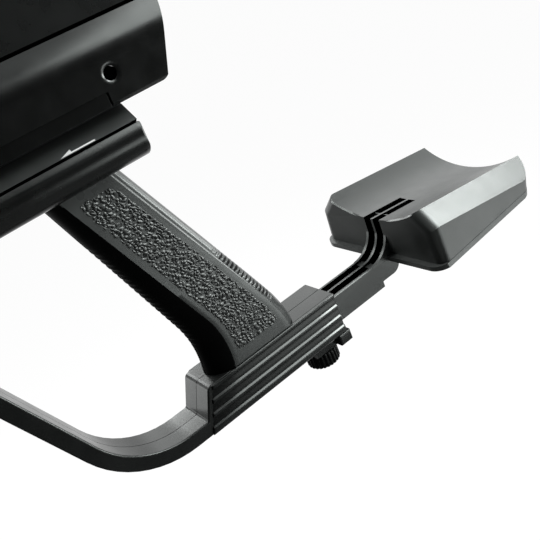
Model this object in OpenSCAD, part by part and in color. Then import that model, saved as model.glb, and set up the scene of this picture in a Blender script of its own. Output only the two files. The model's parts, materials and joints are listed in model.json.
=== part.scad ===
// Pistol-grip holder: a raked hand grip inside a full hand guard, a rear-loading
// bay on a deck above it, and a forearm rest that slides out of a clamp housing.
// Lengths are millimetres. +X points to the rear, +Y to the right and +Z up.
// The origin is the centre of the hand grip.

/* [Grip] */
// Height of the grip from the clamp housing to the deck
grip_h = 114; // [104:1:124]
// Thickness of the grip across its flat sides
grip_w = 23.8; // [21:0.2:25]
// Depth of the grip from front to back at mid height
grip_depth = 42.4; // [39:0.2:46]
// Distance of the grip's middle ahead of the origin
grip_set = 0.6; // [0:0.1:2]
// Lean of the front edge from upright, degrees
front_lean = 20; // [16:0.5:23]
// Lean of the back edge from upright, degrees
back_lean = 25.6; // [22:0.2:28]
// Height above the foot at which the front edge turns upright
front_knee = 31; // [20:1:40]
// Height above the foot at which the back edge turns upright
back_knee = 23; // [15:1:35]
// Depth of the rounded front strap at the top
strap_top = 5.2; // [4:0.2:8]
// Depth of the rounded front strap at the foot
strap_foot = 11.4; // [8:0.2:12]
// Depth of the rounded back strap
back_strap = 5.8; // [3:0.1:7]
// Thickness of the grip's shell
grip_wall = 2.8; // [2:0.1:3.6]
// Thickness of a grained side panel
panel_t = 1.5; // [1:0.1:2]
// Smooth border of the shell ahead of a side panel
panel_ahead = 3.4; // [2:0.1:4]
// Smooth border of the shell behind a side panel
panel_behind = 3.4; // [3:0.1:6]
// Smooth border of the shell above and below a side panel
panel_end = 5; // [4:0.5:12]

/* [Frame and guard] */
// Width of the frame and of the guard
frame_w = 22.6; // [20:0.2:26]
// Height of the clamp housing
housing_h = 23.9; // [23:0.1:27]
// Distance of the housing's rear face behind the grip's centre
housing_rear = 68; // [64:1:80]
// Distance of the housing's front top edge ahead of the grip's centre
housing_front = 15.6; // [15:0.2:20]
// Distance that the housing's front face slopes forward on its way down
front_slope = 7.3; // [4:0.1:9]
// Thickness of the guard bar
guard_t = 8; // [6:0.1:10]
// Distance of the guard's lower corner ahead of the grip's centre
guard_reach = 63.4; // [61:0.2:72]
// Radius of the guard's corner at the middle of the bar
guard_r = 49; // [38:0.5:52]
// Slope of the guard's lower run, degrees
guard_rise = 0; // [0:0.5:3]
// Lean of the guard's front leg from upright, degrees
guard_lean = 24.9; // [20:0.1:27]
// Thickness of a ribbed side plate at its ridges
plate_t = 1.2; // [1:0.1:1.8]
// Number of flutes along a ribbed side plate
flute_count = 3; // [2:1:3]
// Distance from one flute to the next
flute_pitch = 6.6; // [5.6:0.1:7.2]
// Depth of a flute
flute_depth = 0.8; // [0.4:0.1:0.9]
// Depth of the boss and lug under the clamp housing
boss_h = 6.2; // [6:0.1:9]

/* [Deck] */
// Half width of the deck at its widest
deck_half = 23.4; // [22.4:0.2:26]
// Height of the deck's tray, from its underside to its seam
tray_h = 15.4; // [14:0.2:19]
// Radius of the rounding along the tray's lower sides
tray_round = 9.8; // [8:0.2:11]
// Height of the bevelled cover above the seam
bevel_h = 7.5; // [5:0.5:10]
// Width of one bevel, seen from above
bevel_w = 9.7; // [7:0.1:11]
// Height of the neck between the cover and the bay
neck_h = 2.3; // [1.5:0.1:4]
// Distance of the deck's rear end behind the grip's centre
deck_rear = 5.1; // [4:0.1:12]
// Distance of the body's front end ahead of the grip's centre
body_front = 146; // [140:1:170]
// Wall of the deck's mouldings
deck_wall = 2.5; // [2:0.1:3]

/* [Bay] */
// Half width of the bay's lower tray
bay_half = 23.4; // [22:0.2:27]
// Height of the bay's upright side walls
bay_side_h = 17; // [14:0.5:22]
// Radius of the bay's rounded shoulder
shoulder_r = 20.8; // [19:0.2:21.6]
// Angle that the shoulder turns through up to the seam, degrees
shoulder_turn = 45; // [38:1:48]
// Height of the roof above its seam
roof_h = 36; // [28:1:44]
// Distance that each side of the roof leans in
roof_lean = 1.6; // [0:0.2:3]
// Wall of the bay's mouldings
bay_wall = 2.6; // [2:0.1:3]
// Distance of the bay's floor end behind the grip's centre
bay_rear = 23.9; // [16:0.1:28]
// Lean of the bay's rear end, degrees
rear_lean = 20.5; // [10:0.5:22]
// Radius of the eyelet through a side wall
eyelet_r = 2.9; // [2:0.1:3.4]
// Distance of the eyelet behind the grip's centre
eyelet_x = 2; // [0:0.5:8]
// Height of the eyelet above the bay's underside
eyelet_up = 12; // [10.4:0.2:13]
// Height of the rail strip along a side wall
rail_h = 6.3; // [4:0.1:6.4]
// Thickness of the rail strip
rail_t = 1; // [0.8:0.1:1.2]
// Thickness of the front cap
cap_t = 4; // [3:0.5:6]
// Half width of the window in the front cap
window_half = 12; // [8:0.5:13]
// Thickness of a rubber pad on the bay's floor
pad_t = 1.2; // [0.8:0.1:2]

/* [Forearm rest] */
// Width of the sliding beam
beam_w = 15.6; // [14:0.2:16.4]
// Height of the sliding beam
beam_h = 15.2; // [13:0.2:15.6]
// Depth of the beam's top below the housing's top
beam_drop = 4.6; // [4.4:0.1:5]
// Length of the beam inside the housing at rest
beam_inside = 45; // [42:1:50]
// Length of the beam's channel showing behind the housing at rest
beam_shown = 32; // [32:1:40]
// Thickness of the beam's side walls
beam_wall = 1.7; // [1.4:0.1:2]
// Thickness of the rib between the two grooves
mid_rib = 1.6; // [1.2:0.1:2.4]
// Depth of the grooves in the beam
groove_depth = 8.4; // [6:0.2:9]
// Radius of the neck that rises to the cradle
neck_r = 15.4; // [13:0.2:16.4]
// Length of the cradle
cradle_len = 83; // [72:1:96]
// Half width of the cradle at the foot of its shoulders
cradle_half = 44.6; // [40:0.2:48]
// Height of the cradle at its front corners
cradle_h = 33.2; // [30:0.2:36]
// Slope of the cradle's trough down to the rear, degrees
trough_tilt = 7.2; // [4:0.2:8]
// Radius of the trough for the forearm
trough_r = 75; // [70:1:90]
// Depth of the trough
trough_depth = 9.4; // [8:0.2:11]
// Width of the cradle's flat shoulders, which fall at 45 degrees
shoulder_w = 9.6; // [7:0.1:11]
// Slope of the cradle's side walls out to the foot, degrees
side_draft = 6; // [3:0.5:9]
// Radius of the cradle's upright corners at the front
cradle_nose = 6; // [3.6:0.2:8]
// Radius of the cradle's corners at the rear
cradle_corner = 9; // [6:0.5:12]
// Lean of the cradle's rear end, degrees
rear_slant = 19; // [8:1:22]
// Wall of the cradle
cradle_wall = 2.6; // [2:0.1:3]
// Width that the rim stands out ahead of the cradle's foot
rim_out = 3.2; // [2:0.1:4]
// Height of the rim
rim_h = 2.8; // [2:0.1:3.6]
// Rise of the rim to the rear, degrees
rim_tilt = 3.5; // [1:0.5:4.5]

/* [Clamp screw] */
// Distance of the clamp screw behind the grip's centre
screw_x = 55.2; // [54:0.2:56]
// Radius of the knurled knob
knob_r = 9.3; // [8:0.1:10]
// Height of the knurled knob
knob_h = 8.2; // [7:0.1:11]
// Number of flutes round the knob
knob_flutes = 24; // [16:1:30]
// Radius of the clamp screw
stud_r = 3; // [2.5:0.1:3]
// Width of the nut across its corners
nut_w = 11; // [10:0.1:11.4]
// Height of the nut
nut_h = 4.4; // [3.6:0.1:4.6]
// Side of the square clamping shoe
shoe_side = 10; // [8.5:0.5:11]
// Thickness of the clamping shoe
shoe_t = 1.8; // [1.5:0.1:2]
// Travel of the clamping shoe
shoe_travel = 1.5; // [1:0.1:1.6]

/* [Fasteners and fits] */
// Radius of the small shell screws
screw_r = 1.4; // [1.2:0.1:1.6]
// Radius of a shell screw's head
head_r = 2.6; // [2.2:0.1:2.8]
// Height of a shell screw's head
head_h = 1.8; // [1.4:0.1:2]
// Radius of the stop pins
pin_r = 1.4; // [1:0.1:1.6]
// Gap between fixed pieces that fit together
fit_gap = 0.05; // [0.03:0.01:0.1]
// Gap round the sliding beam and round moving pieces
slide_gap = 0.2; // [0.15:0.01:0.25]

/* [Hidden] */
$fn = 48;

// Levels of the stacked pieces
grip_foot = -grip_h / 2;
grip_top = grip_h / 2;
housing_bottom = grip_foot - housing_h;
boss_bottom = housing_bottom - boss_h;
tray_top = grip_top + tray_h;
cover_top = tray_top + bevel_h;
bay_bottom = cover_top + neck_h;
side_top = bay_bottom + bay_side_h;
seam_z = side_top + shoulder_r * sin(shoulder_turn);
seam_half = bay_half - shoulder_r * (1 - cos(shoulder_turn));
roof_top = seam_z + roof_h;

// Sliding beam and cradle
beam_top = grip_foot - beam_drop;
beam_bottom = beam_top - beam_h;
beam_front = housing_rear - beam_inside;
neck_x = housing_rear + beam_shown;
seat_drop = 1.4;
seat_z = beam_top - seat_drop;
wall_x = neck_x + neck_r;
cradle_front = wall_x - 0.4;
cradle_rear = cradle_front + cradle_len;
rim_bottom = seat_z - 1.5;
trough_edge_z = rim_bottom + cradle_h;
beam_end = cradle_front + 3.6;
cradle_engage = 3.2;
groove_wide = (beam_w - mid_rib) / 2 - beam_wall;
groove_mid = (mid_rib + groove_wide) / 2;
neck_groove = 3;
neck_back = wall_x + neck_groove + 2.2;
groove_wall = 3.5;

// Clamp screw stack, from the knob up
knob_top = boss_bottom - 0.3;
knob_bottom = knob_top - knob_h;
shoe_top = beam_bottom - 0.05;
shoe_bottom = shoe_top - shoe_t;
well_gap = 0.4;
pocket_bottom = shoe_bottom - shoe_travel - slide_gap;
nut_bottom = boss_bottom + 0.6;
boss_half = nut_w / 2 + 2.2;

// Small details
edge_round = 3;
seam_step = 1.7;
lug_len = 8;
lug_over = 1.9;
flute_top = 4.4;
slit_w = 0.7;
slit_x = eyelet_x - eyelet_r - 2.3;
floor_end = deck_rear + 1.7;
boss_r = head_r + 1.4;
screw_engage = 7;
pad_w = 12;
pad_margin = 14;
lens = 0.01;

// Edges of the grip in the side view: straight above the knee, turning upright below it
function front_x(z) = let (s = max(0, grip_foot + front_knee - z))
    -grip_set - grip_depth / 2 - z * tan(front_lean) - (tan(front_lean) + 0.2) * s * s / (2 * front_knee);
function back_x(z) = let (s = max(0, grip_foot + back_knee - z))
    -grip_set + grip_depth / 2 - z * tan(back_lean) + (tan(back_lean) - 0.12) * -s * s / (2 * back_knee);
function top_depth() = back_x(grip_top) - front_x(grip_top);
function strap(z) = strap_foot + (strap_top - strap_foot) * max(0, z - grip_foot - 27) / (grip_h - 27);

// Left half of the grip's outline at one height, from the front round to the back
function grip_ring(z) = concat(
    [for (i = [0:9]) let (a = i * 10) [front_x(z) + strap(z) * (1 - cos(a)), -grip_w / 2 * sin(a), z]],
    [[front_x(z) + strap(z), -grip_w / 2, z]],
    [for (i = [0:7]) let (a = 90 * i / 7)
        [back_x(z) - back_strap * (1 - pow(sin(a), 0.77)), -grip_w / 2 * pow(cos(a), 0.77), z]]
);

// Corner of an outline, rounded with radius r between its neighbours a and c
function fillet(a, b, c, r) = let (
    u = (a - b) / norm(a - b), w = (c - b) / norm(c - b), half = acos(u * w) / 2,
    m = (u + w) / norm(u + w), o = b + m * r / sin(half),
    p = b + u * r / tan(half) - o, q = b + w * r / tan(half) - o,
    start = atan2(p[1], p[0]), turn = (atan2(q[1], q[0]) - start + 900) % 360 - 180,
    steps = max(2, ceil(abs(turn) / 6))
) [for (i = [0:steps]) o + r * [cos(start + turn * i / steps), sin(start + turn * i / steps)]];

// Outline from corners [across, up, radius]
function rounded(pts) = let (n = len(pts)) [for (i = [0:n - 1]) let (
    a = pts[(i + n - 1) % n], b = pts[i], c = pts[(i + 1) % n]
) each (b[2] == 0 ? [[b[0], b[1]]] : fillet([a[0], a[1]], [b[0], b[1]], [c[0], c[1]], b[2]))];

// Guard: directions of its lower run and leg, and its corner
run_dir = [cos(guard_rise), -sin(guard_rise)];
leg_dir = [-sin(guard_lean), cos(guard_lean)];
bisector = (run_dir + leg_dir) / norm(run_dir + leg_dir);
corner_half = (90 + guard_rise + guard_lean) / 2;
step_foot_x = -housing_front - front_slope;
guard_corner = [-guard_reach,
    housing_bottom + guard_t / 2 + (guard_reach + step_foot_x) * tan(guard_rise)];
inner_corner = guard_corner + bisector * guard_t / 2 / sin(corner_half);
outer_corner = guard_corner - bisector * guard_t / 2 / sin(corner_half);
function to_height(p, z) = p + leg_dir * (z - p[1]) / leg_dir[1];
function leg_point(k) = to_height(guard_corner, guard_corner[1] + 14 + k * (grip_top - guard_corner[1]));
inner_foot = inner_corner + run_dir * (step_foot_x - inner_corner[0]) / run_dir[0];

// Screw places: [x, z] across the part, [x, y] upright, or [y, z] along it
function flat_mid(z) = (front_x(z) + strap(z) + back_x(z) - back_strap) / 2;
grip_screw_places = [for (z = [grip_top * 0.5, -grip_top * 0.42]) [flat_mid(z), z]];
frame_screw_places = concat([for (k = [0.16, 0.66]) leg_point(k)],
    [[-housing_front + 1, grip_foot - housing_h * 0.58]]);
deck_screw_places = [for (k = [0.32, 0.72]) [front_x(grip_top) + k * top_depth(), 0]];
bay_screw_places = [for (x = [-body_front + 11, -deck_rear - 8], s = [-1, 1]) [x, s * 8.5]];
cap_screw_places = [for (s = [-1, 1]) each [
    [s * (bay_half - bay_wall - boss_r + 0.4), bay_bottom + bay_wall + boss_r - 0.4],
    [s * (seam_half - roof_lean - bay_wall - boss_r + 0.4), roof_top - bay_wall - boss_r + 0.4]]];
cradle_screw_places = [for (s = [-1, 1]) [neck_x + neck_r * 0.8, s * 3.4]];
leg_screw_x = to_height(guard_corner, grip_top - 3.5)[0];
leg_screw_y = frame_w / 4;

// Side outline of the clamp housing with the guard
frame_outline = rounded([
    [housing_rear, grip_foot, 0],
    [-housing_front, grip_foot, edge_round],
    [inner_foot[0], inner_foot[1], edge_round / 2],
    [inner_corner[0], inner_corner[1], guard_r - guard_t / 2],
    [to_height(inner_corner, grip_top)[0], grip_top, 0],
    [to_height(outer_corner, grip_top)[0], grip_top, 0],
    [outer_corner[0], outer_corner[1], guard_r + guard_t / 2],
    [step_foot_x, housing_bottom, 0],
    [housing_rear, housing_bottom, 0]
]);

// Side outline of a ribbed plate
plate_outline = [
    [housing_rear, grip_foot],
    [-housing_front + 2.6, grip_foot],
    [step_foot_x - 0.6, housing_bottom + 0.6],
    [step_foot_x, housing_bottom],
    [housing_rear, housing_bottom]
];

// Outline of a grained panel in the side view, with a border all round
panel_low = grip_foot + panel_end + 2;
panel_high = grip_top - panel_end;
panel_steps = 10;
function panel_z(i) = panel_low + (panel_high - panel_low) * i / panel_steps;
function panel_turn(i) = i == 0 || i == panel_steps ? 4 : 0;
panel_outline = rounded(concat(
    [for (i = [0:panel_steps]) let (z = panel_z(i))
        [front_x(z) + strap(z) + panel_ahead, z, panel_turn(i)]],
    [for (i = [panel_steps:-1:0]) let (z = panel_z(i))
        [back_x(z) - back_strap - panel_behind, z, panel_turn(i)]]
));

// Half sections of the deck and the bay, [across, up]
tray_section = concat(
    [[0, grip_top]],
    [for (i = [0:10]) let (a = i * 9)
        [deck_half - tray_round + tray_round * sin(a), grip_top + tray_round - tray_round * cos(a)]],
    [[deck_half, tray_top - 2.8], [deck_half - seam_step, tray_top], [0, tray_top]]
);
cover_edge = deck_half - seam_step;
cover_section = [
    [0, tray_top], [cover_edge, tray_top], [cover_edge - bevel_w, cover_top],
    [cover_edge - bevel_w - 0.5, cover_top], [cover_edge - bevel_w - 0.5, bay_bottom], [0, bay_bottom]
];
shoulder = [for (i = [0:9]) let (a = shoulder_turn * i / 9) [cos(a), sin(a)]];
shoulder_mid = [bay_half - shoulder_r, side_top];
bay_section = concat(
    [[0, bay_bottom], [bay_half - 1.5, bay_bottom], [bay_half, bay_bottom + 1.5]],
    [for (p = shoulder) shoulder_mid + shoulder_r * p],
    [[0, seam_z]]
);
bay_hollow = concat(
    [[0, bay_bottom + bay_wall], [bay_half - bay_wall, bay_bottom + bay_wall]],
    [for (p = shoulder) shoulder_mid + (shoulder_r - bay_wall) * p],
    [[seam_half - bay_wall, seam_z], [seam_half - bay_wall, seam_z + 1], [0, seam_z + 1]]
);
roof_section = rounded([
    [0, seam_z, 0], [seam_half, seam_z, 0], [seam_half - roof_lean, roof_top, 6], [0, roof_top, 0]
]);
roof_hollow = rounded([
    [0, seam_z - 1, 0], [seam_half - bay_wall, seam_z - 1, 0],
    [seam_half - roof_lean - bay_wall, roof_top - bay_wall, 3.4], [0, roof_top - bay_wall, 0]
]);

// A side outline [x, z] made solid from y = 0 to the left, and a half section [y, z] made solid along X
module leftward(outline, depth) {
    rotate([90, 0, 0]) linear_extrude(depth) polygon(outline);
}
module along_x(half, front, rear) {
    whole = concat(half, [for (i = [len(half) - 1:-1:0]) if (half[i][0] > 0) [-half[i][0], half[i][1]]]);
    translate([front, 0, 0]) rotate([90, 0, 90]) linear_extrude(rear - front) polygon(whole);
}
module block(low, high) {
    translate(low) cube(high - low);
}
module lying(x, z, r, front, rear) {
    translate([front, x, z]) rotate([0, 90, 0]) cylinder(r = r, h = rear - front);
}

// Shell screw standing on its tip, head up, with its head's underside at z = 0
module shell_screw(length) {
    translate([0, 0, -length]) cylinder(r = screw_r, h = length);
    difference() {
        cylinder(r = head_r, h = head_h);
        translate([0, 0, head_h / 2]) cylinder(r = head_r * 0.45, h = head_h, $fn = 6);
    }
}
// Space that a shell screw takes: its shank and a counterbore of the given depth
module screw_space(length, counterbore) {
    translate([0, 0, -length - fit_gap]) cylinder(r = screw_r + fit_gap, h = length + 2 * fit_gap);
    translate([0, 0, -fit_gap]) cylinder(r = head_r + fit_gap, h = counterbore + fit_gap);
}
// Children turned to point their head to the right, at a place [x, z]
module crosswise(place, y) {
    translate([place[0], y, place[1]]) rotate([-90, 0, 0]) children();
}

// Grip: a hollow shell in two halves, with a tongue at its foot
module grip_half() {
    levels = 22;
    rings = [for (k = [0:levels]) grip_ring(grip_foot + grip_h * k / levels)];
    n = len(rings[0]);
    points = [for (ring = rings) each ring];
    faces = concat(
        [[for (i = [0:n - 1]) i]],
        [for (k = [0:levels - 1], i = [0:n - 1]) let (j = (i + 1) % n)
            each [[k * n + i, (k + 1) * n + i, (k + 1) * n + j], [k * n + i, (k + 1) * n + j, k * n + j]]],
        [[for (i = [n - 1:-1:0]) levels * n + i]]
    );
    polyhedron(points, faces);
}
module grip_void() {
    low = grip_foot + grip_wall;
    high = grip_top - 9;
    knee = grip_foot + front_knee;
    inset = grip_wall + 1.6;
    leftward([for (z = [low, knee, high]) [front_x(z) + strap(z) * 0.5 + inset, z],
        for (z = [high, knee, low]) [back_x(z) - back_strap - inset, z]],
        grip_w / 2 - panel_t - grip_wall);
}
tongue_low = grip_foot - 3;
tongue_x = [front_x(grip_foot) + strap_foot + 3, back_x(grip_foot) - back_strap - 4];
module grip_solid() {
    difference() {
        union() {
            difference() {
                grip_half();
                grip_void();
            }
            for (p = grip_screw_places) crosswise(p, -grip_w / 2 + panel_t + lens)
                cylinder(r = boss_r, h = grip_w / 2 - panel_t - lens);
            block([tongue_x[0], -5, tongue_low], [tongue_x[1], 0, grip_foot + lens]);
        }
        translate([0, -grip_w / 2 + panel_t, 0]) leftward(panel_outline, panel_t + 1);
        for (p = deck_screw_places) translate([p[0], p[1], grip_top + deck_wall])
            screw_space(screw_engage + deck_wall, 0);
    }
}
module grip_left() {
    color("#2a2d2c") difference() {
        grip_solid();
        for (p = grip_screw_places) crosswise(p, grip_w / 2 - panel_t - head_h - fit_gap)
            screw_space(grip_w / 2 + 4, head_h);
    }
}
module grip_right() {
    color("#2a2d2c") difference() {
        mirror([0, 1, 0]) grip_solid();
        for (p = grip_screw_places) crosswise(p, grip_w / 2 - panel_t - head_h - fit_gap)
            screw_space(grip_w / 2 + 4, head_h + 4);
    }
}
module grip_panel() {
    translate([0, -grip_w / 2 + panel_t, 0]) rotate([90, 0, 0])
        linear_extrude(panel_t) polygon(panel_outline);
}
module grip_panel_left() {
    color("#3a3d3c") grip_panel();
}
module grip_panel_right() {
    color("#3a3d3c") mirror([0, 1, 0]) grip_panel();
}
module grip_screws() {
    color("#8d9194") for (p = grip_screw_places)
        crosswise(p, grip_w / 2 - panel_t - head_h - fit_gap) shell_screw(grip_w / 2 + 4);
}

// Frame: clamp housing and guard moulded together, in two halves
module frame_solid() {
    difference() {
        union() {
            leftward(frame_outline, frame_w / 2);
            block([screw_x - boss_half, -boss_half, boss_bottom], [housing_rear, 0, housing_bottom + lens]);
            block([housing_rear - lug_len + lug_over, -frame_w / 2 - plate_t, boss_bottom],
                [housing_rear + lug_over, 0, housing_bottom]);
        }
        // Channel of the sliding beam
        block([beam_front - 32, -beam_w / 2 - slide_gap, beam_bottom - slide_gap],
            [housing_rear + 1, 1, beam_top + slide_gap]);
        // Seat of the grip's tongue
        block([tongue_x[0] - fit_gap, -5 - fit_gap, tongue_low - fit_gap],
            [tongue_x[1] + fit_gap, 1, grip_foot + 1]);
        // Pocket of the shoe, well of the screw and pocket of the nut
        block([screw_x - shoe_side / 2 - slide_gap, -shoe_side / 2 - slide_gap, pocket_bottom],
            [screw_x + shoe_side / 2 + slide_gap, 1, beam_bottom]);
        translate([screw_x, 0, boss_bottom - 1]) cylinder(r = stud_r + well_gap, h = boss_h + housing_h);
        translate([screw_x, 0, nut_bottom - fit_gap])
            cylinder(r = nut_w / 2 + fit_gap, h = nut_h + 2 * fit_gap, $fn = 6);
        // Stop pin
        translate([stop_x, -groove_mid, grip_foot - 1.2 - pin_len])
            cylinder(r = pin_r + fit_gap, h = pin_len + fit_gap);
        // Screws that hold the deck to the guard's leg
        translate([leg_screw_x, -leg_screw_y, grip_top + deck_wall])
            screw_space(screw_engage + deck_wall, 0);
    }
}
stop_x = beam_front + groove_wall + 20.6 + pin_r;
pin_len = 8;
module frame_cross_screws(space) {
    for (p = frame_screw_places) crosswise(p, frame_w / 2 - head_h - 0.6)
        if (space) screw_space(frame_w / 2 + 3, head_h + 4);
        else shell_screw(frame_w / 2 + 3);
}
module frame_left() {
    color("#202322") difference() {
        frame_solid();
        frame_cross_screws(true);
    }
}
module frame_right() {
    color("#202322") difference() {
        mirror([0, 1, 0]) frame_solid();
        frame_cross_screws(true);
    }
}
module frame_screws() {
    color("#8d9194") frame_cross_screws(false);
}
// Ribbed side plate: flutes along its length leave sharp ridges between them
module rib_plate() {
    half = flute_pitch / 2 - 0.5;
    r = (half * half + flute_depth * flute_depth) / (2 * flute_depth);
    difference() {
        translate([0, -frame_w / 2, 0]) leftward(plate_outline, plate_t);
        for (i = [0:flute_count - 1])
            lying(-frame_w / 2 - plate_t - r + flute_depth, grip_foot - flute_top - flute_pitch * i, r,
                -housing_front - 40, housing_rear + 1);
    }
}
module rib_plate_left() {
    color("#2b2e2d") rib_plate();
}
module rib_plate_right() {
    color("#2b2e2d") mirror([0, 1, 0]) rib_plate();
}

// Deck: a tray with rounded sides under a bevelled cover
module nose_plan() {
    r = 14;
    translate([0, 0, grip_top - 1]) linear_extrude(tray_h + bevel_h + neck_h + 2) polygon(rounded([
        [deck_rear, -deck_half, 1.5], [deck_rear, deck_half, 1.5],
        [-body_front, deck_half, r], [-body_front, -deck_half, r]
    ]));
}
module deck_tray() {
    color("#151817") difference() {
        intersection() {
            along_x(tray_section, -body_front, deck_rear);
            nose_plan();
        }
        difference() {
            block([-body_front + 10, -deck_half + 7, grip_top + deck_wall],
                [deck_rear - deck_wall, deck_half - 7, tray_top + 1]);
            for (p = bay_screw_places) translate([p[0], p[1], grip_top]) cylinder(r = boss_r, h = tray_h);
        }
        for (p = deck_screw_places) translate([p[0], p[1], grip_top + deck_wall])
            screw_space(screw_engage + deck_wall, head_h);
        for (s = [-1, 1]) translate([leg_screw_x, s * leg_screw_y, grip_top + deck_wall])
            screw_space(screw_engage + deck_wall, head_h);
        deck_to_bay_screws(true);
    }
}
module deck_to_bay_screws(space) {
    for (p = bay_screw_places) translate([p[0], p[1], bay_bottom + bay_wall - head_h - 0.3])
        if (space) screw_space(bay_screw_len, head_h + 4);
        else shell_screw(bay_screw_len);
}
bay_screw_len = bay_wall - head_h - 0.3 + neck_h + bevel_h + screw_engage + 2;
module deck_cover() {
    color("#2a2d2d") difference() {
        intersection() {
            along_x(cover_section, -body_front, deck_rear);
            nose_plan();
        }
        difference() {
            block([-body_front + 10, -cover_edge + bevel_w + deck_wall, tray_top - 1],
                [deck_rear - deck_wall, cover_edge - bevel_w - deck_wall, cover_top - deck_wall + neck_h]);
            for (p = bay_screw_places) translate([p[0], p[1], tray_top]) cylinder(r = boss_r, h = 20);
        }
        deck_to_bay_screws(true);
    }
}
module deck_screws() {
    color("#8d9194") {
        for (p = deck_screw_places) translate([p[0], p[1], grip_top + deck_wall])
            shell_screw(screw_engage + deck_wall);
        for (s = [-1, 1]) translate([leg_screw_x, s * leg_screw_y, grip_top + deck_wall])
            shell_screw(screw_engage + deck_wall);
    }
}

// Bay: a tray with rounded shoulders, a roof, two rail strips and a front cap
bay_turn = 3;
function rear_at(z) = bay_rear + (z - bay_bottom) * tan(rear_lean);
module rear_cut(low, high, turn = 0) {
    rotate([90, 0, 0]) linear_extrude(200, center = true) polygon(rounded([
        [-body_front - 1, low, 0], [rear_at(low), low, turn],
        [rear_at(high), high, 0], [-body_front - 1, high, 0]
    ]));
}
module bay_tray() {
    color("#121514") difference() {
        intersection() {
            along_x(bay_section, -body_front, rear_at(seam_z) + 1);
            rear_cut(bay_bottom - 0.02, seam_z + 1, bay_turn);
        }
        difference() {
            along_x(bay_hollow, -body_front - 1, rear_at(seam_z) + 2);
            cap_bosses();
        }
        cap_fixings(true);
        for (s = [-1, 1]) {
            // Rebate of the rail strip, with the slit at its end
            block([-body_front - 1, s < 0 ? -bay_half - 1 : bay_half - rail_t - 0.4, bay_bottom - 1],
                [slit_x + slit_w, s < 0 ? -bay_half + rail_t + 0.4 : bay_half + 1, bay_bottom + rail_h]);
            // Countersunk eyelet
            translate([eyelet_x, s * (bay_half + 1), bay_bottom + eyelet_up]) rotate([s * 90, 0, 0]) {
                cylinder(r = eyelet_r, h = bay_wall + 2);
            }
        }
        // Open underside behind the deck
        block([floor_end, -bay_half + bay_wall, bay_bottom - 1],
            [rear_at(seam_z) + 2, bay_half - bay_wall, bay_bottom + bay_wall + 1]);
        deck_to_bay_screws(true);
    }
}
module side_rail() {
    block([-body_front, -bay_half + 0.4, bay_bottom + 0.3],
        [slit_x, -bay_half + 0.4 + rail_t, bay_bottom + rail_h]);
}
module side_rail_left() {
    color("#0d0f0f") side_rail();
}
module side_rail_right() {
    color("#0d0f0f") mirror([0, 1, 0]) side_rail();
}
// Screws that run back through the front cap into bosses in the bay's corners
module cap_fixings(space) {
    for (p = cap_screw_places) translate([-body_front - cap_t + head_h + 0.4, p[0], p[1]]) rotate([0, -90, 0])
        if (space) screw_space(cap_t + screw_engage, head_h + 4);
        else shell_screw(cap_t + screw_engage);
}
module cap_bosses() {
    for (p = cap_screw_places) lying(p[0], p[1], boss_r, -body_front - 2, -body_front + 12);
}
module roof() {
    color("#1b1e1d") difference() {
        intersection() {
            along_x(roof_section, -body_front, rear_at(roof_top) + 1);
            rear_cut(seam_z - 1, roof_top + 1);
        }
        difference() {
            along_x(roof_hollow, -body_front - 1, rear_at(roof_top) + 2);
            cap_bosses();
        }
        cap_fixings(true);
    }
}
module cap_screws() {
    color("#8d9194") cap_fixings(false);
}
module front_cap() {
    color("#1b1e1d") difference() {
        union() {
            along_x(bay_section, -body_front - cap_t, -body_front);
            along_x(roof_section, -body_front - cap_t, -body_front);
        }
        block([-body_front - cap_t - 1, -window_half, bay_bottom + 8],
            [-body_front + 1, window_half, roof_top - 10]);
        cap_fixings(true);
    }
}
module bay_pads() {
    color("#0a0a0a") for (s = [-1, 1])
        block([-body_front + pad_margin, s * (bay_half - bay_wall - 4) - pad_w / 4, bay_bottom + bay_wall],
            [-pad_margin, s * (bay_half - bay_wall - 4) + pad_w / 4, bay_bottom + bay_wall + pad_t]);
}
module bay_screws() {
    color("#8d9194") deck_to_bay_screws(false);
}

// Forearm rest: a channelled beam that slides in the housing, and the cradle on its end
module arm_beam() {
    outline = rounded([
        [beam_front, beam_top, 0], [neck_x, beam_top, 0], [neck_x, seat_z, 0], [beam_end, seat_z, 0],
        [beam_end, beam_bottom + 3.4, 6], [neck_x + 4, beam_bottom + 3.4, 0], [neck_x + 4, beam_bottom, 0],
        [beam_front, beam_bottom, 0]
    ]);
    color("#222524") difference() {
        rotate([90, 0, 0]) linear_extrude(beam_w, center = true) polygon(outline);
        for (s = [-1, 1]) translate([0, s * groove_mid, 0])
            block([beam_front + groove_wall, -groove_wide / 2, beam_top - groove_depth],
                [neck_x, groove_wide / 2, beam_top + 1]);
        cradle_fixings(true);
    }
}
module cradle_fixings(space) {
    for (p = cradle_screw_places) translate([p[0], p[1], seat_z - 4]) rotate([180, 0, 0])
        if (space) screw_space(4 + cradle_engage, 12);
        else shell_screw(4 + cradle_engage);
}
// Children in the frame of the cradle's sloping left side; overlap of children with their mirror image
module in_side() {
    translate([0, -cradle_half, trough_edge_z - shoulder_w]) rotate([-side_draft, 0, 0]) children();
}
module both_sides() {
    intersection() {
        children();
        mirror([0, 1, 0]) children();
    }
}
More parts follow.
